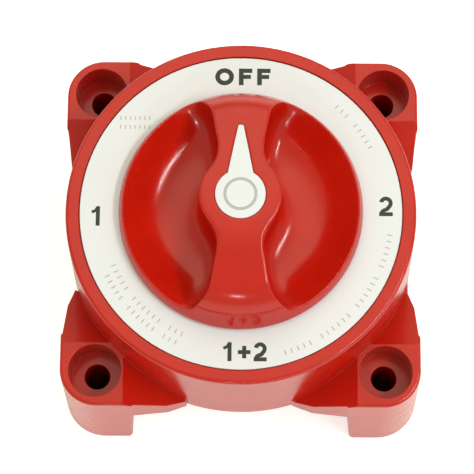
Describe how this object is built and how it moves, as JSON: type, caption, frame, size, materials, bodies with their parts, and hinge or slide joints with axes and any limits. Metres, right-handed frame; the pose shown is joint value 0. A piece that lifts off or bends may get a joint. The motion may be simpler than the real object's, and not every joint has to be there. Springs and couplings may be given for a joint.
{
  "type": "battery switch",
  "caption": "Marine battery selector switch: round dial and turning finger knob on a four-legged housing, with rear stud terminals.",
  "frame": {"origin": "centre of the mounting plane, under the four feet", "axes": "+Z out of the dial, +Y towards OFF, +X towards 2"},
  "size_m": [0.0984, 0.0984, 0.0775],
  "materials": {
    "red_plastic": "satin moulded, glossy",
    "white_plastic": "fine satin",
    "black_plastic": "moulded, glass filled",
    "steel": "stainless",
    "copper": "tin-dulled copper",
    "silver": "silver alloy contact",
    "brass": "machined",
    "rubber": "nitrile"
  },
  "bodies": {
    "case": {"base_gasket": "rubber", "base_plate": "black_plastic", "base_screws": "steel", "battery_1_button": "silver", "battery_1_contact": "copper", "battery_1_flat_washer": "steel", "battery_1_lock_washer": "steel", "battery_1_nut": "steel", "battery_1_stud": "copper", "battery_2_button": "silver", "battery_2_contact": "copper", "battery_2_flat_washer": "steel", "battery_2_lock_washer": "steel", "battery_2_nut": "steel", "battery_2_stud": "copper", "common_contact": "copper", "common_flat_washer": "steel", "common_lock_washer": "steel", "common_nut": "steel", "common_ring": "silver", "common_stud": "copper", "detent_spring_left": "steel", "detent_spring_right": "steel", "dial_plate": "white_plastic", "front_housing": "red_plastic", "screw_inserts": "brass", "shaft_bush": "black_plastic", "shaft_seal": "rubber", "thrust_washer": "steel"},
    "rotor": {"knob": "red_plastic", "pointer_insert": "white_plastic", "knob_screw": "steel", "knob_washer": "steel", "shaft": "brass", "detent_cam": "black_plastic", "rotor_carrier": "black_plastic", "moving_contact": "copper", "contact_spring_left": "steel", "contact_spring_right": "steel"}
  },
  "joints": [
    {"name": "knob_turn", "type": "hinge", "parent": "case", "child": "rotor", "pos_m": [0, 0, 0.0615], "axis": [0, 0, 1], "continuous": true, "deforming": ["detent_spring_left", "detent_spring_right"]}
  ]
}
